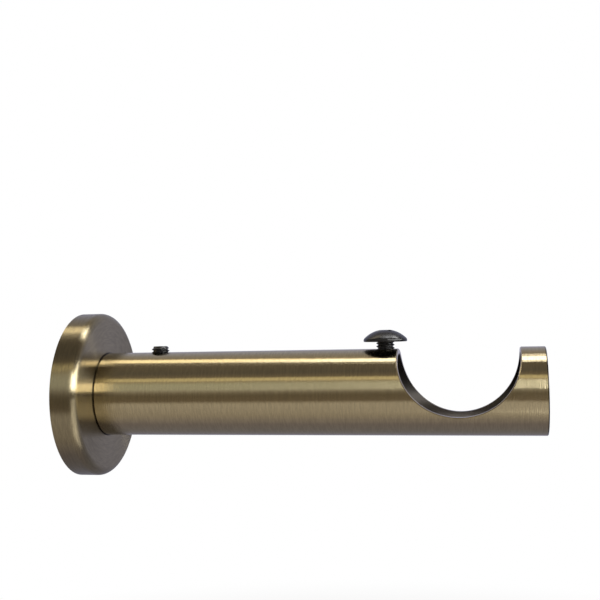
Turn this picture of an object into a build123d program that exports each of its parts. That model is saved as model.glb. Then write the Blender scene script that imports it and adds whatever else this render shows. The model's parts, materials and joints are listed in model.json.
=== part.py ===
from build123d import *
import os

# Curtain pole bracket of the cylinder kind, in millimetres.
# A wall plate with a turned spigot is screwed to the wall. A pressed rose covers it,
# and a tube, the barrel, slides over the spigot, traps the rose and is locked by a grub screw.
# The pole drops into the half-round cup cut across the barrel, under the head of a retaining screw.
# The origin is the centre of the wall face: X goes straight out from the wall, Z goes up,
# and the pole lies along Y.

# Pole and its cup
pole_diameter = 25.4
pole_clearance = 0.25
pole_height = 8.0
cup_edge_break = 0.2
rim_tolerance = 0.01

# Barrel
barrel_diameter = 19.0
barrel_wall = 1.2
barrel_reach = 105.0
barrel_beyond_cup = 5.3
barrel_end_chamfer = 0.3

# Rose
rose_diameter = 37.5
rose_depth = 5.85
rose_wall = 1.2
rose_edge_radius = 1.8
rose_inner_chamfer = 0.5
rose_hole_clearance = 0.15

# Wall plate, its spigot and the holes for the wall screws
plate_thickness = 2.5
plate_clearance = 0.75
spigot_length = 20.5
spigot_clearance = 0.1
spigot_chamfer = 0.8
wall_screw_count = 3
wall_screw_hole_radius = 2.15
countersink_radius = 3.8
countersink_depth = 1.6

# Grub screw
screw_diameter = 4.0
thread_clearance = 0.05
grub_from_rose = 12.75
grub_length = 4.0
grub_stand = 1.4
grub_seat_gap = 0.03
grub_groove_margin = 0.6
grub_top_chamfer = 0.3
grub_point_chamfer = 0.7
hex_across_flats = 2.0
hex_depth = 2.0

# Retaining screw
retaining_from_cup = 2.95
retaining_stand = 1.55
retaining_length = 12.0
retaining_tip_chamfer = 0.5
head_diameter = 9.6
head_height = 2.6
head_rim_height = 0.6
head_rim_chamfer = 0.2
head_crown_radius = 1.2
recess_span = 5.0
recess_root_span = 1.7
recess_width = 0.9
recess_depth = 1.7
recess_turn = 40.0

# End cap
cap_thickness = 0.8
cap_edge_chamfer = 0.15
plug_clearance = 0.05
plug_length = 3.0
plug_wall = 0.9

# Radii and places that follow from the sizes
barrel_radius = barrel_diameter / 2
bore_radius = barrel_radius - barrel_wall
cup_radius = pole_diameter / 2 + pole_clearance
pole_projection = barrel_reach - barrel_beyond_cup - cup_radius
rose_radius = rose_diameter / 2
spigot_radius = bore_radius - spigot_clearance
plate_radius = rose_radius - rose_wall - plate_clearance
screw_radius = screw_diameter / 2
tapped_hole_radius = screw_radius + thread_clearance
head_radius = head_diameter / 2
plug_radius = bore_radius - plug_clearance
grub_x = rose_depth + grub_from_rose
grub_top_z = barrel_radius + grub_stand
grub_tip_z = grub_top_z - grub_length
retaining_x = pole_projection - cup_radius - retaining_from_cup
head_seat_z = barrel_radius + retaining_stand
cap_seat_x = barrel_reach - cap_thickness


def turned(outline, axis):
    """Solid turned about X from (x, radius) points, or about Z from (radius, z) points."""
    with BuildPart() as solid:
        with BuildSketch(Plane.XZ):
            with BuildLine():
                Polyline(*outline, close=True)
            make_face()
        revolve(axis=axis)
    return solid.part


def make_wall_plate():
    """Round plate with countersunk holes, and a spigot with a groove where the grub screw bites."""
    spigot_end = rose_depth + spigot_length
    groove_radius = grub_tip_z - grub_seat_gap
    groove_half = screw_radius + grub_groove_margin
    plate = turned(
        [
            (0, 0),
            (0, plate_radius),
            (plate_thickness, plate_radius),
            (plate_thickness, spigot_radius),
            (grub_x - groove_half, spigot_radius),
            (grub_x - groove_half, groove_radius),
            (grub_x + groove_half, groove_radius),
            (grub_x + groove_half, spigot_radius),
            (spigot_end - spigot_chamfer, spigot_radius),
            (spigot_end, spigot_radius - spigot_chamfer),
            (spigot_end, 0),
        ],
        Axis.X,
    )
    ring_radius = (spigot_radius + plate_radius) / 2
    with BuildPart() as drilled:
        add(plate)
        with Locations(Plane.YZ.offset(plate_thickness)):
            with PolarLocations(ring_radius, wall_screw_count, 90):
                Hole(wall_screw_hole_radius, 2 * plate_thickness)
                Cone(
                    wall_screw_hole_radius,
                    countersink_radius,
                    countersink_depth,
                    align=(Align.CENTER, Align.CENTER, Align.MAX),
                    mode=Mode.SUBTRACT,
                )
    return drilled.part


def make_rose():
    """Pressed cover: a shallow cup of even wall, with a rounded front edge and a spigot hole."""
    hole_radius = spigot_radius + rose_hole_clearance
    inner_x = rose_depth - rose_wall
    inner_radius = rose_radius - rose_wall
    with BuildPart() as rose:
        with BuildSketch(Plane.XZ) as profile:
            with BuildLine():
                Polyline(
                    (rose_depth, hole_radius),
                    (rose_depth, rose_radius),
                    (0, rose_radius),
                    (0, inner_radius),
                    (inner_x - rose_inner_chamfer, inner_radius),
                    (inner_x, inner_radius - rose_inner_chamfer),
                    (inner_x, hole_radius),
                    close=True,
                )
            make_face()
            front_corner = profile.vertices().sort_by_distance((rose_depth, rose_radius, 0))[0]
            fillet(front_corner, rose_edge_radius)
        revolve(axis=Axis.X)
    return rose.part


def make_cup_cutter():
    """Bar with a half-round bottom and straight sides, as wide as the cup and open at the top."""
    with BuildPart() as cutter:
        with BuildSketch(Plane.XZ):
            with Locations((pole_projection, pole_height)):
                Circle(cup_radius)
                Rectangle(2 * cup_radius, barrel_diameter, align=(Align.CENTER, Align.MIN))
        extrude(amount=barrel_diameter, both=True)
    return cutter.part


def on_cup_rim(edge):
    """True where the cup cuts the outside of the tube."""
    for share in (0.1, 0.5, 0.9):
        point = edge @ share
        off_tube = abs((point.Y**2 + point.Z**2) ** 0.5 - barrel_radius)
        beyond_cup = abs(point.X - pole_projection) - cup_radius
        if max(off_tube, beyond_cup) > rim_tolerance:
            return False
    return True


def make_barrel():
    """Tube with the pole's cup cut across it and two tapped holes along its top."""
    tube = turned(
        [
            (rose_depth, bore_radius),
            (rose_depth, barrel_radius - barrel_end_chamfer),
            (rose_depth + barrel_end_chamfer, barrel_radius),
            (cap_seat_x, barrel_radius),
            (cap_seat_x, bore_radius),
        ],
        Axis.X,
    )
    barrel = tube - make_cup_cutter()
    barrel = chamfer(barrel.edges().filter_by(on_cup_rim), cup_edge_break)
    centred_above = (Align.CENTER, Align.CENTER, Align.MIN)
    for x in (grub_x, retaining_x):
        barrel -= Pos(x, 0, 0) * Cylinder(tapped_hole_radius, barrel_diameter, align=centred_above)
    return barrel


def make_end_cap():
    """Flush disc that closes the free end, with a hollow plug in the tube's bore."""
    plug_start = cap_seat_x - plug_length
    hollow_radius = plug_radius - plug_wall
    return turned(
        [
            (plug_start, hollow_radius),
            (plug_start, plug_radius),
            (cap_seat_x, plug_radius),
            (cap_seat_x, barrel_radius),
            (barrel_reach - cap_edge_chamfer, barrel_radius),
            (barrel_reach, barrel_radius - cap_edge_chamfer),
            (barrel_reach, 0),
            (cap_seat_x, 0),
            (cap_seat_x, hollow_radius),
        ],
        Axis.X,
    )


def make_grub_screw():
    """Headless screw with a hexagon socket, standing a little above the barrel."""
    screw = turned(
        [
            (0, grub_tip_z),
            (screw_radius - grub_point_chamfer, grub_tip_z),
            (screw_radius, grub_tip_z + grub_point_chamfer),
            (screw_radius, grub_top_z - grub_top_chamfer),
            (screw_radius - grub_top_chamfer, grub_top_z),
            (0, grub_top_z),
        ],
        Axis.Z,
    )
    hexagon = RegularPolygon(hex_across_flats / 2, 6, major_radius=False)
    socket = extrude(Pos(0, 0, grub_top_z) * hexagon, -hex_depth)
    return Pos(grub_x, 0, 0) * (screw - socket)


def make_cross_recess():
    """Two tapered blades that cross on the screw's axis, from the top of the head down."""
    top_z = head_seat_z + head_height
    with BuildPart() as blade:
        with BuildSketch(Plane.XZ):
            with BuildLine():
                Polyline(
                    (-recess_root_span / 2, top_z - recess_depth),
                    (recess_root_span / 2, top_z - recess_depth),
                    (recess_span / 2, top_z),
                    (-recess_span / 2, top_z),
                    close=True,
                )
            make_face()
        extrude(amount=recess_width / 2, both=True)
    return Rot(0, 0, recess_turn) * blade.part + Rot(0, 0, recess_turn + 90) * blade.part


def make_retaining_screw():
    """Screw with a low domed head, flat at its crown, and a long plain shank."""
    dome_rise = head_height - head_rim_height
    crown_to_centre = (head_radius**2 + dome_rise**2 - head_crown_radius**2) / (2 * dome_rise)
    dome_radius = (crown_to_centre**2 + head_crown_radius**2) ** 0.5
    tip_z = head_seat_z - retaining_length
    rim_z = head_seat_z + head_rim_height
    top_z = head_seat_z + head_height
    with BuildPart() as screw:
        with BuildSketch(Plane.XZ):
            with BuildLine():
                Polyline(
                    (head_crown_radius, top_z),
                    (0, top_z),
                    (0, tip_z),
                    (screw_radius - retaining_tip_chamfer, tip_z),
                    (screw_radius, tip_z + retaining_tip_chamfer),
                    (screw_radius, head_seat_z),
                    (head_radius - head_rim_chamfer, head_seat_z),
                    (head_radius, head_seat_z + head_rim_chamfer),
                    (head_radius, rim_z),
                )
                RadiusArc((head_radius, rim_z), (head_crown_radius, top_z), -dome_radius)
            make_face()
        revolve(axis=Axis.Z)
    return Pos(retaining_x, 0, 0) * (screw.part - make_cross_recess())


pieces = {
    "wall_plate": make_wall_plate(),
    "rose": make_rose(),
    "barrel": make_barrel(),
    "end_cap": make_end_cap(),
    "grub_screw": make_grub_screw(),
    "retaining_screw": make_retaining_screw(),
}

os.makedirs("parts", exist_ok=True)
for name, piece in pieces.items():
    export_step(piece, f"parts/{name}.step")
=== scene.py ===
# %% [markdown]
# # A curtain pole bracket in brushed antique brass
#
# The bracket is a short tube that stands out from the wall. A round rose hides its wall plate,
# and a half-round cup near the free end carries the pole. Of its two black screws, the one near
# the rose locks the tube in place, and the one beside the cup holds the pole down.
# The CAD model already holds every size and every moving part. This lesson adds what a camera
# sees: real screw threads, the brushed metal, and the light that draws bands along the tube.

# %% Load the CAD model as a fixed frame
import json
import math

import bmesh
import bpy
from mathutils import Matrix, Vector

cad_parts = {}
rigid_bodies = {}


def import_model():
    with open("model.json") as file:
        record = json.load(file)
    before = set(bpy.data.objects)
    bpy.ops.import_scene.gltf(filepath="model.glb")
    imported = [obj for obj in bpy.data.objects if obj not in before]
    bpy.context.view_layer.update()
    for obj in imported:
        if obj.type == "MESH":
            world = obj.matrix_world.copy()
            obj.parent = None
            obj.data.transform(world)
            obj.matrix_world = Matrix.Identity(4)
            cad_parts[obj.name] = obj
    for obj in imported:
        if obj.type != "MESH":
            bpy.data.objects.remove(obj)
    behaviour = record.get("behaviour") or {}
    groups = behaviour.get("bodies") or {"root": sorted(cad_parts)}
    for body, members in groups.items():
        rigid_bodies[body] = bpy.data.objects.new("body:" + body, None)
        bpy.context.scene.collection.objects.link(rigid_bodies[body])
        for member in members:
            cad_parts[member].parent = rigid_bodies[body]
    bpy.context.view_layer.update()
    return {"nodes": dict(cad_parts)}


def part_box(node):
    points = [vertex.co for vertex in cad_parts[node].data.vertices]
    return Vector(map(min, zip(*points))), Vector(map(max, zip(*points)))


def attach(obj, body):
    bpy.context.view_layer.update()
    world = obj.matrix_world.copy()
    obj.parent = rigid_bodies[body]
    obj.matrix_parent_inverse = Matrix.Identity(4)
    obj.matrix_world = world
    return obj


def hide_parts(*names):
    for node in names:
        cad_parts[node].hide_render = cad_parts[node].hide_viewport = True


for leftover in list(bpy.data.objects):
    bpy.data.objects.remove(leftover)

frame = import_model()

# %% [markdown]
# ## The camera
#
# A product photo like this is taken from close by with a long lens. Perspective still shows:
# the far end of the tube looks larger because the camera stands nearer to it. So the camera is
# placed where the photo's outlines say it stood, and not moved back for comfort.
# Three turns aim it: the heading round Z, the tilt up from level, and a small roll.

# %% Camera
photo_pixels = 600
focal_pixels = 915.1
sensor_mm = 36.0
camera_place = Vector((0.092926, -0.201797, 0.013676))
camera_heading = math.radians(11.513)
camera_tilt = math.radians(1.969)
camera_roll = math.radians(-1.161)

camera_data = bpy.data.cameras.new("camera")
camera_data.sensor_width = sensor_mm
camera_data.lens = focal_pixels * sensor_mm / photo_pixels
camera_data.clip_start = 0.01
camera_data.clip_end = 20.0
camera = bpy.data.objects.new("camera", camera_data)
camera.matrix_world = (
    Matrix.Translation(camera_place)
    @ Matrix.Rotation(camera_heading, 4, "Z")
    @ Matrix.Rotation(math.radians(90) + camera_tilt, 4, "X")
    @ Matrix.Rotation(camera_roll, 4, "Z")
)
bpy.context.scene.collection.objects.link(camera)
bpy.context.scene.camera = camera
print("lens in mm:", round(camera_data.lens, 2))

# %% [markdown]
# ## Small helpers for node trees
#
# Every material here is built from nodes. Two short helpers keep those cells readable: one adds
# a node and sets its options, the other links an output to an input.

# %% Node helpers
def add_node(tree, kind, **options):
    """A new node of that kind, with its options set."""
    node = tree.nodes.new(kind)
    for name, value in options.items():
        setattr(node, name, value)
    return node


def link(tree, source, target):
    """Links an output socket to an input socket."""
    tree.links.new(source, target)


def math_node(tree, operation, first, second=None, clamp=False):
    """The output of one Math node. Each operand is a number or a socket."""
    node = add_node(tree, "ShaderNodeMath", operation=operation, use_clamp=clamp)
    for socket, value in zip(node.inputs, (first, second)):
        if isinstance(value, bpy.types.NodeSocket):
            link(tree, value, socket)
        elif value is not None:
            socket.default_value = value
    return node.outputs[0]


def mix_colours(tree, mask, first, second):
    """A colour that goes from the first to the second as the mask goes from 0 to 1."""
    node = add_node(tree, "ShaderNodeMix", data_type="RGBA")
    for socket, value in zip((node.inputs[0], node.inputs[6], node.inputs[7]), (mask, first, second)):
        if isinstance(value, bpy.types.NodeSocket):
            link(tree, value, socket)
        else:
            socket.default_value = value
    return node.outputs[2]


def start_material(name):
    """A new material with its Principled shader, and the tree that holds it."""
    material = bpy.data.materials.new(name)
    material.use_nodes = True
    return material, material.node_tree, material.node_tree.nodes["Principled BSDF"]


# %% [markdown]
# ## The white studio
#
# The photo has a plain white background. The world is white wherever the camera, a mirror or
# glass looks at it, and a little dimmer for the light that it sheds, so that a painted colour
# comes out about as it was written.

# %% World
white = (1.0, 1.0, 1.0, 1.0)
world_fill = 0.62

world = bpy.data.worlds.new("white studio")
bpy.context.scene.world = world
world.use_nodes = True
tree = world.node_tree
background = tree.nodes["Background"]
background.inputs["Color"].default_value = white
rays = add_node(tree, "ShaderNodeLightPath")
seen = math_node(tree, "MAXIMUM", rays.outputs["Is Camera Ray"], rays.outputs["Is Glossy Ray"])
seen = math_node(tree, "MAXIMUM", seen, rays.outputs["Is Transmission Ray"])
strength = math_node(tree, "MULTIPLY_ADD", seen, 1.0 - world_fill)
strength.node.inputs[2].default_value = world_fill
link(tree, strength, background.inputs["Strength"])
bpy.context.scene.view_settings.view_transform = "Standard"
print("world fill:", world_fill)

# %% [markdown]
# ## The floor
#
# The bracket hangs on a wall, so the floor lies well below it and only catches its soft shadow.
# Near the bracket it is a pale matt surface. Further out it fades, for the camera, into the
# white of the background, so no horizon line shows.

# %% Floor
floor_x = 0.05
floor_z = -0.2
floor_half = 3.0
floor_fade_from = 0.3
floor_fade_to = 0.6
floor_colour = (0.86, 0.86, 0.86, 1.0)
floor_roughness = 0.9


def make_floor_material():
    """Matt and pale near the bracket, and as white as the background further out."""
    material, tree, shader = start_material("pale floor")
    shader.inputs["Base Color"].default_value = floor_colour
    shader.inputs["Roughness"].default_value = floor_roughness
    place = add_node(tree, "ShaderNodeTexCoord").outputs["Object"]
    distance = add_node(tree, "ShaderNodeVectorMath", operation="LENGTH")
    link(tree, place, distance.inputs[0])
    fade = add_node(tree, "ShaderNodeMapRange", interpolation_type="SMOOTHSTEP")
    fade.inputs["From Min"].default_value = floor_fade_from
    fade.inputs["From Max"].default_value = floor_fade_to
    link(tree, distance.outputs["Value"], fade.inputs["Value"])
    camera_ray = add_node(tree, "ShaderNodeLightPath").outputs["Is Camera Ray"]
    mask = math_node(tree, "MULTIPLY", fade.outputs["Result"], camera_ray)
    glow = add_node(tree, "ShaderNodeEmission")
    glow.inputs["Color"].default_value = white
    blend = add_node(tree, "ShaderNodeMixShader")
    link(tree, mask, blend.inputs[0])
    link(tree, shader.outputs[0], blend.inputs[1])
    link(tree, glow.outputs[0], blend.inputs[2])
    link(tree, blend.outputs[0], tree.nodes["Material Output"].inputs["Surface"])
    return material


def make_floor():
    """A large square below the bracket."""
    bm = bmesh.new()
    bmesh.ops.create_grid(bm, x_segments=1, y_segments=1, size=floor_half)
    mesh = bpy.data.meshes.new("floor")
    bm.to_mesh(mesh)
    bm.free()
    floor = bpy.data.objects.new("floor", mesh)
    floor.location = (floor_x, 0.0, floor_z)
    floor.data.materials.append(make_floor_material())
    bpy.context.scene.collection.objects.link(floor)
    return floor


floor = make_floor()
floor.visible_glossy = False
print("floor at", floor_z, "m")

# %% [markdown]
# ## What the metal mirrors
#
# Brushed metal has hardly any colour of its own: it shows its surroundings. In the photo the
# tube mirrors a photographer's tent: grey walls, pale cloth above the camera, and lamps. Those
# make its dark and light bands. The tent here is a wide tunnel round the tube's axis that only
# mirrors can see. Its colour goes round the tunnel by a ramp, where 0 degrees is the front, 90
# is overhead, and 180 is behind. One could also paint the sky instead, but a tent with real
# lamps in it throws the right light from any side.

# %% Tent
tent_radius = 0.6
tent_half_length = 1.2
tent_sides = 96
tent_end_share = 0.999
tent_weld = 0.0001
tent_end_grey = (0.20, 0.19, 0.185, 1.0)
tent_bands = [
    (-180, (0.44, 0.45, 0.60)),
    (-150, (0.26, 0.26, 0.34)),
    (-125, (0.25, 0.25, 0.31)),
    (-90, (0.27, 0.25, 0.30)),
    (-75, (0.38, 0.35, 0.37)),
    (-60, (0.47, 0.43, 0.41)),
    (-33, (0.57, 0.53, 0.51)),
    (-26, (0.55, 0.51, 0.48)),
    (-19, (0.22, 0.18, 0.14)),
    (-5, (0.19, 0.16, 0.12)),
    (2, (0.26, 0.23, 0.19)),
    (7, (0.38, 0.35, 0.31)),
    (13, (0.52, 0.52, 0.46)),
    (27, (0.52, 0.53, 0.45)),
    (34, (0.42, 0.37, 0.28)),
    (37, (0.90, 0.80, 0.53)),
    (43, (0.90, 0.80, 0.53)),
    (46, (0.26, 0.22, 0.17)),
    (58, (0.165, 0.15, 0.135)),
    (86, (0.20, 0.175, 0.145)),
    (110, (0.40, 0.35, 0.29)),
    (124, (0.43, 0.41, 0.42)),
    (140, (0.44, 0.45, 0.56)),
    (180, (0.44, 0.45, 0.60)),
]


def make_tent_material():
    """Glows with the ramp's colour for each direction round the axis, and is grey at the ends."""
    material = bpy.data.materials.new("tent walls")
    material.use_nodes = True
    tree = material.node_tree
    tree.nodes.clear()
    place = add_node(tree, "ShaderNodeTexCoord").outputs["Object"]
    parts = add_node(tree, "ShaderNodeSeparateXYZ")
    link(tree, place, parts.inputs[0])
    towards_front = math_node(tree, "MULTIPLY", parts.outputs["Y"], -1.0)
    angle = math_node(tree, "ARCTAN2", parts.outputs["Z"], towards_front)
    turn = math_node(tree, "MULTIPLY_ADD", angle, 1.0 / math.tau)
    turn.node.inputs[2].default_value = 0.5
    ramp = add_node(tree, "ShaderNodeValToRGB")
    stops = ramp.color_ramp.elements
    stops.remove(stops[1])
    for number, (degrees, colour) in enumerate(tent_bands):
        where = degrees / 360 + 0.5
        stop = stops[0] if number == 0 else stops.new(where)
        stop.position = where
        stop.color = (*colour, 1.0)
    link(tree, turn, ramp.inputs[0])
    along = math_node(tree, "ABSOLUTE", parts.outputs["X"])
    at_end = math_node(tree, "GREATER_THAN", along, tent_end_share * tent_half_length)
    glow = add_node(tree, "ShaderNodeEmission")
    link(tree, mix_colours(tree, at_end, ramp.outputs[0], tent_end_grey), glow.inputs["Color"])
    output = add_node(tree, "ShaderNodeOutputMaterial")
    link(tree, glow.outputs[0], output.inputs["Surface"])
    return material


def make_tent():
    """A tunnel round the X axis with closed ends, spun from three edges."""
    bm = bmesh.new()
    corners = [(-tent_half_length, 0.0), (-tent_half_length, tent_radius)]
    corners += [(tent_half_length, tent_radius), (tent_half_length, 0.0)]
    line = [bm.verts.new((x, 0.0, r)) for x, r in corners]
    for pair in zip(line, line[1:]):
        bm.edges.new(pair)
    bmesh.ops.spin(
        bm,
        geom=bm.verts[:] + bm.edges[:],
        cent=(0.0, 0.0, 0.0),
        axis=(1.0, 0.0, 0.0),
        angle=math.tau,
        steps=tent_sides,
        use_merge=True,
    )
    bmesh.ops.remove_doubles(bm, verts=bm.verts, dist=tent_weld)
    mesh = bpy.data.meshes.new("tent")
    bm.to_mesh(mesh)
    bm.free()
    tent = bpy.data.objects.new("tent", mesh)
    tent.data.materials.append(make_tent_material())
    bpy.context.scene.collection.objects.link(tent)
    return tent


tent = make_tent()
tent.visible_camera = False
tent.visible_diffuse = False
tent.visible_transmission = False
tent.visible_volume_scatter = False
tent.visible_shadow = False
print("tent faces:", len(tent.data.polygons))

# %% [markdown]
# ## The lamps
#
# Long strip lights hang overhead, a little behind the tube. Their mirror image is the narrow
# bright stripe along the top of the tube, and they throw the soft shadow on the floor. Near the
# wall hangs a warm one, set askew, so the stripe starts golden, and further out a white one.
# A short one and a hind one beside it widen the stripe at the free end. A far one shows only
# beside the joint, where the tube mirrors the rose and the rose mirrors the lamp. To the right of
# the camera stand a long bright panel, a soft box further round, and a dim white card below them.
# They show where a rounded edge turns that way, as the bright spot on the rim of the rose. Area
# lights are used because mirrors see them with their true outline, which gives the stripe its
# sharp edges. Most of them light nothing but mirrors, so that a painted colour isn't washed out.
#
# A strip light's two ends are each given as an x and an angle round the tunnel. Radiance is how
# bright a lamp looks in a mirror, so its power is worked out from that and from its area.

# %% Lamps
lamp_reach = 0.55
lamp_white = (1.0, 1.0, 1.0)
lamp_warm = (1.0, 0.88, 0.62)
box_place = Vector((0.50, -0.10, 0.125))
box_width = 0.40
box_height = 0.18
card_place = Vector((0.40, -0.22, -0.25))
card_width = 0.50
card_height = 0.50


def make_area_lamp(name, place, along, facing, width, height, radiance, colour):
    """A rectangular lamp, with its width along one direction and its face towards another."""
    data = bpy.data.lights.new(name, "AREA")
    data.shape = "RECTANGLE"
    data.size = width
    data.size_y = height
    data.energy = radiance * math.pi * width * height
    data.color = colour
    lamp = bpy.data.objects.new(name, data)
    back = -facing.normalized()
    side = along.normalized()
    turn = Matrix((side, back.cross(side), back)).transposed()
    lamp.matrix_world = Matrix.Translation(place) @ turn.to_4x4()
    bpy.context.scene.collection.objects.link(lamp)
    print(name, "in W:", round(data.energy, 2))
    return lamp


def make_box_light(name, place, width, height, radiance, colour=lamp_white):
    """A lamp with a level width, that faces the centre of the wall face."""
    level = Vector((0.0, 0.0, 1.0)).cross(place)
    return make_area_lamp(name, place, level, -place, width, height, radiance, colour)


def point_on_tent(x, degrees):
    """The place at that x on the tunnel where the lamps hang, at that angle round the axis."""
    angle = math.radians(degrees)
    return Vector((x, -lamp_reach * math.cos(angle), lamp_reach * math.sin(angle)))


def make_strip_light(name, start, end, width, radiance, colour=lamp_white):
    """A long lamp from one x and angle to another, that faces the tube's axis."""
    first = point_on_tent(*start)
    last = point_on_tent(*end)
    along = last - first
    place = (first + last) / 2
    inwards = Vector((0.0, -place.y, -place.z))
    inwards -= inwards.project(along)
    return make_area_lamp(name, place, along, inwards, along.length, width, radiance, colour)


make_strip_light(
    "warm strip light",
    (-0.60, 110.0),
    (-0.05, 101.5),
    width=0.125,
    radiance=2.0,
    colour=lamp_warm,
)
make_strip_light("white strip light", (-0.05, 96.7), (0.24, 96.7), width=0.115, radiance=3.1)
mirrored_only = [
    make_strip_light("short strip light", (0.08, 88.5), (0.22, 88.5), width=0.10, radiance=2.8),
    make_strip_light("hind strip light", (0.10, 107.0), (0.24, 107.0), width=0.14, radiance=1.5),
    make_strip_light("far strip light", (0.24, 106.0), (0.50, 106.0), width=0.16, radiance=8.0),
    make_strip_light("side panel", (0.255, 22.5), (1.15, 22.5), width=0.24, radiance=6.8),
    make_box_light("soft box", box_place, box_width, box_height, radiance=7.0),
    make_box_light("white card", card_place, card_width, card_height, radiance=1.1),
]
for lamp in mirrored_only:
    lamp.visible_diffuse = False

# %% [markdown]
# ## Sizes that the looks need
#
# Masks and new pieces take their places from the CAD nodes' boxes, so they stay right when the
# CAD model changes. Only sizes that no box can tell are written down here, in metres.

# %% Sizes from the frame
tube_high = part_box("barrel")[1]
tube_radius = tube_high.z
tube_end_x = tube_high.x
rose_front_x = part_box("rose")[1].x
cap_front_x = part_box("end_cap")[1].x
tube_wall = 0.0012
bore_radius = tube_radius - tube_wall
cup_centre_x = 0.08675
cup_centre_z = 0.008
cup_radius = 0.01295
print("tube radius in mm:", round(1000 * tube_radius, 2))
print("front of the rose in mm:", round(1000 * rose_front_x, 2))

# %% [markdown]
# ## Brushed lines as a node group
#
# The tube and the rose were held in a lathe against an abrasive belt, which left fine lines
# that run round the axis. A noise that is stretched a long way round and squeezed across the
# lines looks like them. The trick is the coordinate across: x minus the distance from the axis
# keeps growing along the tube, over the rose's rounded rim and in over its face, so one formula
# brushes all of them without a seam. It gives two masks: fine lines for close views, and
# broader short streaks that still show from further away. Each has its own scale for the width
# and for the length of a line.

# %% Brushed lines group
mask_scales = {"Lines": (1.0, 1.0), "Streaks": (2.6, 0.3)}


def make_brushed_group():
    """Masks of fine lines and of broader streaks that run round the X axis."""
    group = bpy.data.node_groups.new("brushed lines", "ShaderNodeTree")
    for name, value in (("Line Width", 0.0001), ("Line Length", 0.01)):
        socket = group.interface.new_socket(name, in_out="INPUT", socket_type="NodeSocketFloat")
        socket.default_value = value
    for name in mask_scales:
        group.interface.new_socket(name, in_out="OUTPUT", socket_type="NodeSocketFloat")
    given = add_node(group, "NodeGroupInput")
    made = add_node(group, "NodeGroupOutput")
    place = add_node(group, "ShaderNodeTexCoord").outputs["Object"]
    parts = add_node(group, "ShaderNodeSeparateXYZ")
    link(group, place, parts.inputs[0])
    from_axis = distance_from_axis(group, parts)
    profile = math_node(group, "SUBTRACT", parts.outputs["X"], from_axis)
    for name, (width_scale, length_scale) in mask_scales.items():
        width = math_node(group, "MULTIPLY", given.outputs["Line Width"], width_scale)
        length = math_node(group, "MULTIPLY", given.outputs["Line Length"], length_scale)
        point = add_node(group, "ShaderNodeCombineXYZ")
        link(group, math_node(group, "DIVIDE", profile, width), point.inputs["X"])
        link(group, math_node(group, "DIVIDE", parts.outputs["Y"], length), point.inputs["Y"])
        link(group, math_node(group, "DIVIDE", parts.outputs["Z"], length), point.inputs["Z"])
        noise = add_node(group, "ShaderNodeTexNoise")
        noise.inputs["Scale"].default_value = 1.0
        noise.inputs["Detail"].default_value = 1.0
        link(group, point.outputs[0], noise.inputs["Vector"])
        link(group, noise.outputs[0], made.inputs[name])
    return group


def distance_from_axis(tree, parts):
    """How far each point lies from the tube's axis, from its separated coordinates."""
    flat = add_node(tree, "ShaderNodeCombineXYZ")
    link(tree, parts.outputs["Y"], flat.inputs["Y"])
    link(tree, parts.outputs["Z"], flat.inputs["Z"])
    length = add_node(tree, "ShaderNodeVectorMath", operation="LENGTH")
    link(tree, flat.outputs[0], length.inputs[0])
    return length.outputs["Value"]


brushed_lines = make_brushed_group()
print("sockets of the brushed group:", [item.name for item in brushed_lines.interface.items_tree])

# %% [markdown]
# ## Antique brass
#
# Brushed metal smears a reflection across its lines and keeps it sharp along them. The
# Principled shader calls that Anisotropic. Its Tangent says which way the smear goes, and here
# it comes from a cross product: the X axis times the point gives the direction round the tube,
# and a quarter turn of Anisotropic Rotation aims the smear across the lines. A Tangent node set
# to Radial would do nearly the same, but it only knows the box of one object.
#
# The streaks are also a relief, as a bump: where one tilts the surface a little along the
# tube, it catches the bright side panel, and that gives the fine flecks in the tube's middle band.
#
# The plating stops where the tube was cut, so masks from the distance to the axis and to the
# pole's centre line change the colour there: dark in the bore and bare on the cut. Two more
# masks paint shade as a dark colour: a thin line where the tube meets the rose, for the shadow
# in the joint, and a ring round the free end, for its dark edge.
# The rose is darker than the tube, and duller, so the same function is used twice with other
# values.

# %% Brass material
tube_tones = ((0.425, 0.36, 0.225, 1.0), (0.485, 0.412, 0.257, 1.0))
rose_tones = ((0.258, 0.218, 0.136, 1.0), (0.308, 0.261, 0.162, 1.0))
tube_roughness = (0.20, 0.14)
rose_roughness = (0.27, 0.22)
tube_relief = 0.000025
rose_relief = 0.00001
line_width = 0.00011
line_length = 0.007
bore_colour = (0.17, 0.155, 0.145, 1.0)
bore_roughness = 0.75
cut_colour = (0.52, 0.44, 0.30, 1.0)
# Painted shade: this dark colour is laid where the tube meets the rose, as the shadow in the joint,
# and round the free end, as its dark edge.
painted_shade_colour = (0.03, 0.025, 0.02, 1.0)
joint_shadow = 0.00022
end_shadow = 0.0003
shadow_core = 0.6
bore_blend = (0.0002, 0.0001)
end_slack = 0.0001
cut_blend = (0.00008, 0.00003)
lines_share = 0.3
tone_span = (0.34, 0.66)
roughness_span = (0.35, 0.65)


def smooth_step(tree, value, start, end):
    """A mask that goes from 0 to 1 as the value goes from start to end."""
    node = add_node(tree, "ShaderNodeMapRange", interpolation_type="SMOOTHSTEP")
    node.inputs["From Min"].default_value = start
    node.inputs["From Max"].default_value = end
    link(tree, value, node.inputs["Value"])
    return node.outputs["Result"]


def tangent_round_axis(tree, place):
    """The direction round the tube at each point."""
    cross = add_node(tree, "ShaderNodeVectorMath", operation="CROSS_PRODUCT")
    cross.inputs[0].default_value = (1.0, 0.0, 0.0)
    link(tree, place, cross.inputs[1])
    unit = add_node(tree, "ShaderNodeVectorMath", operation="NORMALIZE")
    link(tree, cross.outputs[0], unit.inputs[0])
    return unit.outputs[0]


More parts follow.
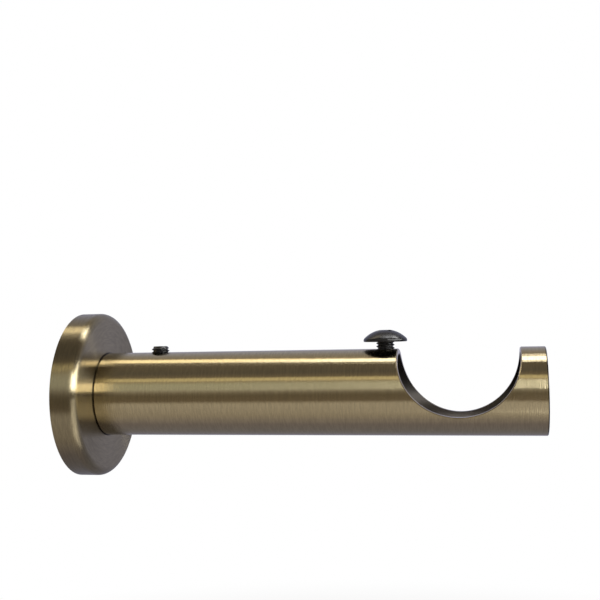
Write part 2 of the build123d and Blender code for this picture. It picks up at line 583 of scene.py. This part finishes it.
def painted_shade_ring(tree, parts, from_axis, x, radius, reach):
    """A mask of painted shade: 1 on a ring round the axis, fading to 0 at the reach."""
    along = math_node(tree, "SUBTRACT", parts.outputs["X"], x)
    across = math_node(tree, "SUBTRACT", from_axis, radius)
    square = math_node(tree, "MULTIPLY", along, along)
    total = math_node(tree, "ADD", square, math_node(tree, "MULTIPLY", across, across))
    return smooth_step(tree, math_node(tree, "SQRT", total), reach, shadow_core * reach)


def inside_tube(tree, parts, from_axis):
    """A mask of 1 on the bore's wall, and 0 on the outside and beyond the tube's ends."""
    deep = smooth_step(tree, from_axis, bore_radius + bore_blend[0], bore_radius + bore_blend[1])
    before_end = math_node(tree, "LESS_THAN", parts.outputs["X"], tube_end_x + end_slack)
    return math_node(tree, "MULTIPLY", deep, before_end)


def on_cup_cut(tree, parts):
    """A mask of 1 on the faces that the pole's cup cut through the tube's wall."""
    along = math_node(tree, "SUBTRACT", parts.outputs["X"], cup_centre_x)
    below = math_node(tree, "SUBTRACT", parts.outputs["Z"], cup_centre_z)
    below = math_node(tree, "MINIMUM", below, 0.0)
    square = math_node(tree, "MULTIPLY", along, along)
    total = math_node(tree, "ADD", square, math_node(tree, "MULTIPLY", below, below))
    from_pole = math_node(tree, "SQRT", total)
    return smooth_step(tree, from_pole, cup_radius + cut_blend[0], cup_radius + cut_blend[1])


def make_brass(name, tones, roughness, relief):
    """Brushed antique brass, dark in the bore, bare on the cut, with painted shade at joint and free
    end.
    """
    material, tree, shader = start_material(name)
    place = add_node(tree, "ShaderNodeTexCoord").outputs["Object"]
    parts = add_node(tree, "ShaderNodeSeparateXYZ")
    link(tree, place, parts.inputs[0])
    from_axis = distance_from_axis(tree, parts)
    brushed = add_node(tree, "ShaderNodeGroup")
    brushed.node_tree = brushed_lines
    brushed.inputs["Line Width"].default_value = line_width
    brushed.inputs["Line Length"].default_value = line_length
    tone = math_node(tree, "MULTIPLY_ADD", brushed.outputs["Lines"], lines_share)
    streaks = math_node(tree, "MULTIPLY", brushed.outputs["Streaks"], 1.0 - lines_share)
    link(tree, streaks, tone.node.inputs[2])
    colour = mix_colours(tree, smooth_step(tree, tone, *tone_span), *tones)
    colour = mix_colours(tree, on_cup_cut(tree, parts), colour, cut_colour)
    bore = inside_tube(tree, parts, from_axis)
    colour = mix_colours(tree, bore, colour, bore_colour)
    # Painted shade: a dark line where the tube meets the rose stands in for the shadow in the joint,
    # and a dark ring round the free end for its dark edge.
    joint = painted_shade_ring(tree, parts, from_axis, rose_front_x, tube_radius, joint_shadow)
    colour = mix_colours(tree, joint, colour, painted_shade_colour)
    end_shade = painted_shade_ring(tree, parts, from_axis, cap_front_x, tube_radius, end_shadow)
    colour = mix_colours(tree, end_shade, colour, painted_shade_colour)
    link(tree, colour, shader.inputs["Base Color"])
    shader.inputs["Metallic"].default_value = 1.0
    rough = add_node(tree, "ShaderNodeMapRange")
    limits = ("From Min", "From Max", "To Min", "To Max")
    for limit, value in zip(limits, (*roughness_span, *roughness)):
        rough.inputs[limit].default_value = value
    link(tree, tone, rough.inputs["Value"])
    duller = add_node(tree, "ShaderNodeMix")
    duller.inputs[3].default_value = bore_roughness
    link(tree, bore, duller.inputs[0])
    link(tree, rough.outputs["Result"], duller.inputs[2])
    link(tree, duller.outputs[0], shader.inputs["Roughness"])
    shader.inputs["Anisotropic"].default_value = 1.0
    shader.inputs["Anisotropic Rotation"].default_value = 0.25
    link(tree, tangent_round_axis(tree, place), shader.inputs["Tangent"])
    bump = add_node(tree, "ShaderNodeBump")
    bump.inputs["Strength"].default_value = 1.0
    bump.inputs["Distance"].default_value = relief
    link(tree, brushed.outputs["Streaks"], bump.inputs["Height"])
    link(tree, bump.outputs["Normal"], shader.inputs["Normal"])
    return material


tube_brass = make_brass("brushed antique brass", tube_tones, tube_roughness, tube_relief)
rose_brass = make_brass("darker antique brass", rose_tones, rose_roughness, rose_relief)
for node, brass in (("barrel", tube_brass), ("end_cap", tube_brass), ("rose", rose_brass)):
    frame["nodes"][node].material_slots[0].material = brass
print("brass on the tube and end cap:", tube_brass.name, "and on the rose:", rose_brass.name)

# %% [markdown]
# ## Black screws and the wall plate
#
# The two screws are blackened steel with an oily half gloss. The wall plate hides behind the
# rose, in plain zinc-plated steel. Both have the same faint mottling, so that is a node group
# with a size and a strength. A noise round 0.5 is stretched away from that middle by the strength.

# %% Mottling group
def make_mottle_group():
    """A mask of soft patches, stronger or weaker round one half."""
    group = bpy.data.node_groups.new("mottling", "ShaderNodeTree")
    for name, value in (("Patch Size", 0.001), ("Strength", 0.5)):
        socket = group.interface.new_socket(name, in_out="INPUT", socket_type="NodeSocketFloat")
        socket.default_value = value
    group.interface.new_socket("Patches", in_out="OUTPUT", socket_type="NodeSocketFloat")
    given = add_node(group, "NodeGroupInput")
    made = add_node(group, "NodeGroupOutput")
    place = add_node(group, "ShaderNodeTexCoord").outputs["Object"]
    scaled = add_node(group, "ShaderNodeVectorMath", operation="SCALE")
    link(group, place, scaled.inputs[0])
    link(group, math_node(group, "DIVIDE", 1.0, given.outputs["Patch Size"]), scaled.inputs["Scale"])
    noise = add_node(group, "ShaderNodeTexNoise")
    noise.inputs["Scale"].default_value = 1.0
    noise.inputs["Detail"].default_value = 4.0
    link(group, scaled.outputs[0], noise.inputs["Vector"])
    centred = math_node(group, "SUBTRACT", noise.outputs[0], 0.5)
    patches = math_node(group, "MULTIPLY_ADD", centred, given.outputs["Strength"])
    patches.node.inputs[2].default_value = 0.5
    link(group, patches, made.inputs["Patches"])
    return group


mottling = make_mottle_group()
print("sockets of the mottling group:", [item.name for item in mottling.interface.items_tree])

# %% [markdown]
# One function makes both steels. A black oxide hides the metal under it, so to the shader it is
# no metal but a nearly black coat, whose gloss is its Specular reflection. Zinc shows as metal.
# The patches waver between two colours and two roughnesses, and are a faint relief as well.

# %% Steel materials
black_deep = (0.006, 0.006, 0.009, 1.0)
black_worn = (0.015, 0.014, 0.015, 1.0)
zinc_dull = (0.42, 0.43, 0.45, 1.0)
zinc_bright = (0.62, 0.63, 0.64, 1.0)
black_patches = 0.0006
zinc_patches = 0.004
black_roughness = (0.14, 0.34)
zinc_roughness = (0.3, 0.45)
black_gloss = 0.45
zinc_gloss = 0.5
patch_strength = 2.0
patch_bump = 0.15
patch_relief = 0.00003


def make_steel(name, tones, patch_size, roughness, metallic, gloss):
    """A steel surface that wavers between two colours and two roughnesses."""
    material, tree, shader = start_material(name)
    mottle = add_node(tree, "ShaderNodeGroup")
    mottle.node_tree = mottling
    mottle.inputs["Patch Size"].default_value = patch_size
    mottle.inputs["Strength"].default_value = patch_strength
    patches = mottle.outputs["Patches"]
    link(tree, mix_colours(tree, patches, *tones), shader.inputs["Base Color"])
    rough = add_node(tree, "ShaderNodeMapRange")
    rough.inputs["To Min"].default_value = roughness[0]
    rough.inputs["To Max"].default_value = roughness[1]
    link(tree, patches, rough.inputs["Value"])
    link(tree, rough.outputs["Result"], shader.inputs["Roughness"])
    shader.inputs["Metallic"].default_value = metallic
    shader.inputs["Specular IOR Level"].default_value = gloss
    bump = add_node(tree, "ShaderNodeBump")
    bump.inputs["Strength"].default_value = patch_bump
    bump.inputs["Distance"].default_value = patch_relief
    link(tree, patches, bump.inputs["Height"])
    link(tree, bump.outputs["Normal"], shader.inputs["Normal"])
    return material


black_steel = make_steel(
    "blackened steel",
    (black_deep, black_worn),
    black_patches,
    black_roughness,
    metallic=0.0,
    gloss=black_gloss,
)
zinc = make_steel(
    "zinc-plated steel",
    (zinc_dull, zinc_bright),
    zinc_patches,
    zinc_roughness,
    metallic=1.0,
    gloss=zinc_gloss,
)
frame["nodes"]["wall_plate"].material_slots[0].material = zinc
print("screws:", black_steel.name, "- wall plate:", zinc.name)

# %% [markdown]
# ## Screw threads
#
# In the CAD model the screws are plain rods. Here they get the thread of a 4 mm machine screw.
# A thread is one small outline, swept round the axis while it climbs: the spin operator does
# that when it is given a height to climb at each step. The outline is one pitch tall, so each
# turn's top edge meets the next turn's bottom edge, and merging them leaves one skin. Planes
# then cut it to length, and the ends are filled. The black finish fills the roots a little, so
# the thread is not quite as deep as on bare steel.

# %% Thread helper
thread_pitch = 0.0007
thread_depth = 0.46 * thread_pitch
thread_crest = 0.2 * thread_pitch
thread_flank_angle = math.radians(30)
thread_lead_in = 1.5 * thread_pitch
thread_weld = thread_pitch / 200
thread_steps = 40
cut_tolerance = 1e-8


def thread_outline(radius, bottom):
    """The corners of one pitch of thread, from root to crest and back to root."""
    flank = thread_depth * math.tan(thread_flank_angle)
    root = thread_pitch - thread_crest - 2 * flank
    heights = (0.0, root, root + flank, root + flank + thread_crest, thread_pitch)
    radii = (radius - thread_depth, radius - thread_depth, radius, radius, radius - thread_depth)
    return [(r, bottom + z) for r, z in zip(radii, heights)]


def cut_level(bm, z, keep_below):
    """Cuts the mesh at a level and closes it there with one face."""
    cut = bmesh.ops.bisect_plane(
        bm,
        geom=bm.verts[:] + bm.edges[:] + bm.faces[:],
        dist=cut_tolerance,
        plane_co=(0.0, 0.0, z),
        plane_no=(0.0, 0.0, 1.0),
        clear_outer=keep_below,
        clear_inner=not keep_below,
    )
    rim = [item for item in cut["geom_cut"] if isinstance(item, bmesh.types.BMEdge)]
    bmesh.ops.holes_fill(bm, edges=rim, sides=0)


def make_threaded_rod(radius, bottom, top):
    """A closed rod with a right-hand thread between two levels, on the Z axis."""
    bm = bmesh.new()
    start = bottom - thread_lead_in
    turns = math.ceil((top - start) / thread_pitch) + 1
    line = [bm.verts.new((r, 0.0, z)) for r, z in thread_outline(radius, start)]
    for pair in zip(line, line[1:]):
        bm.edges.new(pair)
    bmesh.ops.spin(
        bm,
        geom=bm.verts[:] + bm.edges[:],
        cent=(0.0, 0.0, 0.0),
        axis=(0.0, 0.0, 1.0),
        dvec=(0.0, 0.0, thread_pitch / thread_steps),
        angle=math.tau * turns,
        steps=thread_steps * turns,
    )
    bmesh.ops.remove_doubles(bm, verts=bm.verts, dist=thread_weld)
    cut_level(bm, top, keep_below=True)
    cut_level(bm, bottom, keep_below=False)
    bmesh.ops.recalc_face_normals(bm, faces=bm.faces)
    return bm


def turn_down(bm, radius, level, upwards):
    """Cones the end of a rod off at 45 degrees beyond a level, as a lathe tool would."""
    for vert in bm.verts:
        beyond = (vert.co.z - level) * (1 if upwards else -1)
        reach = vert.co.xy.length
        if beyond > 0 and reach > radius - beyond:
            share = (radius - beyond) / reach
            vert.co.x *= share
            vert.co.y *= share


print("thread depth in mm:", round(1000 * thread_depth, 3))

# %% [markdown]
# ## Cutting one piece with another
#
# A head is joined to its thread, and a recess is sunk into the head, with the Boolean modifier.
# It is applied at once, so that the piece is one closed mesh and the cutter can go.

# %% Boolean helper
sharp_from = math.radians(28)


def place_piece(name, bm, x):
    """A new object from a mesh made on the Z axis, with the mesh moved to its place in x."""
    bmesh.ops.translate(bm, verts=bm.verts, vec=(x, 0.0, 0.0))
    mesh = bpy.data.meshes.new(name)
    bm.to_mesh(mesh)
    bm.free()
    piece = bpy.data.objects.new(name, mesh)
    bpy.context.scene.collection.objects.link(piece)
    return piece


def combine(piece, tool, operation):
    """Joins the tool to the piece or cuts it out, and removes the tool."""
    modifier = piece.modifiers.new("combine", "BOOLEAN")
    modifier.operation = operation
    modifier.solver = "EXACT"
    modifier.object = tool
    graph = bpy.context.evaluated_depsgraph_get()
    result = bpy.data.meshes.new_from_object(piece.evaluated_get(graph))
    piece.modifiers.clear()
    piece.data = result
    bpy.data.objects.remove(tool)


def finish_screw(piece, node, body):
    """Smooths the round faces, keeps the corners, and puts the piece in the CAD node's place."""
    piece.data.materials.clear()
    piece.data.materials.append(black_steel)
    piece.data.shade_smooth()
    piece.data.set_sharp_from_angle(angle=sharp_from)
    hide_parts(node)
    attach(piece, body)
    print(piece.name, "faces:", len(piece.data.polygons))


print("edges count as sharp from", round(math.degrees(sharp_from)), "degrees")

# %% [markdown]
# ## The grub screw
#
# A headless screw that locks the tube on its spigot. Its top is coned off, so the first thread
# starts small, and a hexagon socket for the key is sunk into it.

# %% Grub screw
socket_across_flats = 0.002
socket_depth = 0.002
socket_overshoot = 0.0005
grub_top_cone = 0.0005
grub_point_cone = 0.0007


def make_socket_cutter(top):
    """A hexagonal bar that reaches down from just above the screw."""
    bm = bmesh.new()
    corner_radius = socket_across_flats / 2 / math.cos(math.radians(30))
    bmesh.ops.create_circle(bm, cap_ends=True, segments=6, radius=corner_radius)
    bmesh.ops.translate(bm, verts=bm.verts, vec=(0.0, 0.0, top - socket_depth))
    grown = bmesh.ops.extrude_face_region(bm, geom=bm.faces[:])
    risen = [item for item in grown["geom"] if isinstance(item, bmesh.types.BMVert)]
    bmesh.ops.translate(bm, verts=risen, vec=(0.0, 0.0, socket_depth + socket_overshoot))
    bmesh.ops.recalc_face_normals(bm, faces=bm.faces)
    return bm


def make_grub_screw():
    """The threaded rod, coned at both ends, with its socket."""
    low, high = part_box("grub_screw")
    radius = (high.x - low.x) / 2
    axis_x = (high.x + low.x) / 2
    bm = make_threaded_rod(radius, low.z, high.z)
    turn_down(bm, radius, high.z - grub_top_cone, upwards=True)
    turn_down(bm, radius, low.z + grub_point_cone, upwards=False)
    screw = place_piece("grub_screw_threaded", bm, axis_x)
    combine(screw, place_piece("socket", make_socket_cutter(high.z), axis_x), "DIFFERENCE")
    finish_screw(screw, "grub_screw", "locking_grub")


make_grub_screw()

# %% [markdown]
# ## The retaining screw
#
# Its head is a low dome, flat at the crown, with a rounded rim that doesn't scratch the pole.
# Half of its outline is drawn from the middle of the crown to the neck, with an arc for the
# flank, and spun round. The rim is rounded by the bevel operator.

# %% Retaining screw
head_height = 0.0026
head_rim_height = 0.0006
crown_radius = 0.0012
rim_rounding = 0.00022
rim_rounding_steps = 4
head_segments = 96
head_arc_steps = 10
head_weld = 1e-7
ring_slack = 1e-6
rod_radius = 0.002
rod_point_cone = 0.0005
rod_overlap = 0.0003
recess_turn = math.radians(40)
recess_span = 0.0050
recess_root_span = 0.0017
recess_root_share = 0.7
recess_width = 0.0010
recess_depth = 0.0017
recess_rounding = 0.0001


def points_on_arc(start, end, radius, steps):
    """Points from just after the start to the end, on an arc that bulges up and out."""
    start, end = Vector(start), Vector(end)
    chord = end - start
    inwards = Vector((chord.y, -chord.x)).normalized()
    centre = (start + end) / 2 + inwards * math.sqrt(radius**2 - chord.length_squared / 4)
    turn = (start - centre).angle_signed(end - centre)
    spoke = start - centre
    return [centre + Matrix.Rotation(-turn * step / steps, 2) @ spoke for step in range(1, steps + 1)]


def make_screw_head(radius, seat, top):
    """The closed head, spun from its outline, with its rim rounded."""
    bm = bmesh.new()
    crown_edge = (crown_radius, top)
    rim_top = (radius, seat + head_rim_height)
    dome_rise = top - rim_top[1]
    crown_to_centre = (radius**2 + dome_rise**2 - crown_radius**2) / (2 * dome_rise)
    flank_radius = math.hypot(crown_to_centre, crown_radius)
    outline = [(0.0, top), crown_edge]
    outline += points_on_arc(crown_edge, rim_top, flank_radius, head_arc_steps)
    outline += [(radius, seat), (0.0, seat)]
    line = [bm.verts.new((r, 0.0, z)) for r, z in outline]
    for pair in zip(line, line[1:]):
        bm.edges.new(pair)
    bmesh.ops.spin(
        bm,
        geom=bm.verts[:] + bm.edges[:],
        cent=(0.0, 0.0, 0.0),
        axis=(0.0, 0.0, 1.0),
        angle=math.tau,
        steps=head_segments,
        use_merge=True,
    )
    bmesh.ops.remove_doubles(bm, verts=bm.verts, dist=head_weld)
    for level in (seat + head_rim_height, seat):
        ring = [edge for edge in bm.edges if is_on_ring(edge, radius, level)]
        bmesh.ops.bevel(
            bm,
            geom=ring,
            offset=rim_rounding,
            affect="EDGES",
            segments=rim_rounding_steps,
            profile=0.5,
            material=-1,
        )
    bmesh.ops.recalc_face_normals(bm, faces=bm.faces)
    return bm


def is_on_ring(edge, radius, level):
    """True for an edge whose two ends both lie on a ring round the Z axis."""
    for vert in edge.verts:
        if abs(vert.co.xy.length - radius) > ring_slack or abs(vert.co.z - level) > ring_slack:
            return False
    return True


def make_recess_blade(top, turn):
    """A wedge with its middle level with the head's top, where it has the span of the recess.

    Below that it narrows to the root, and above it goes on widening at the same slope.
    """
    bm = bmesh.new()
    bmesh.ops.create_cube(bm, size=1.0)
    bmesh.ops.scale(bm, verts=bm.verts, vec=(recess_span, recess_width, 2 * recess_depth))
    narrowing = recess_root_span / recess_span
    for vert in bm.verts:
        if vert.co.z < 0:
            vert.co.x *= narrowing
            vert.co.y *= recess_root_share
        else:
            vert.co.x *= 2.0 - narrowing
    bmesh.ops.bevel(
        bm,
        geom=bm.edges[:],
        offset=recess_rounding,
        affect="EDGES",
        segments=2,
        profile=0.5,
        material=-1,
    )
    bmesh.ops.rotate(bm, verts=bm.verts, matrix=Matrix.Rotation(turn, 3, "Z"))
    bmesh.ops.translate(bm, verts=bm.verts, vec=(0.0, 0.0, top))
    return bm


def make_retaining_screw():
    """Head and thread joined, and the cross recess sunk into the head."""
    low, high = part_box("retaining_screw")
    axis_x = (high.x + low.x) / 2
    radius = (high.x - low.x) / 2
    seat = high.z - head_height
    rod = make_threaded_rod(rod_radius, low.z, seat + rod_overlap)
    turn_down(rod, rod_radius, low.z + rod_point_cone, upwards=False)
    screw = place_piece("retaining_screw_threaded", make_screw_head(radius, seat, high.z), axis_x)
    combine(screw, place_piece("rod", rod, axis_x), "UNION")
    for quarter in (0, 1):
        blade = make_recess_blade(high.z, recess_turn + quarter * math.radians(90))
        combine(screw, place_piece("blade", blade, axis_x), "DIFFERENCE")
    finish_screw(screw, "retaining_screw", "pole_retainer")


make_retaining_screw()
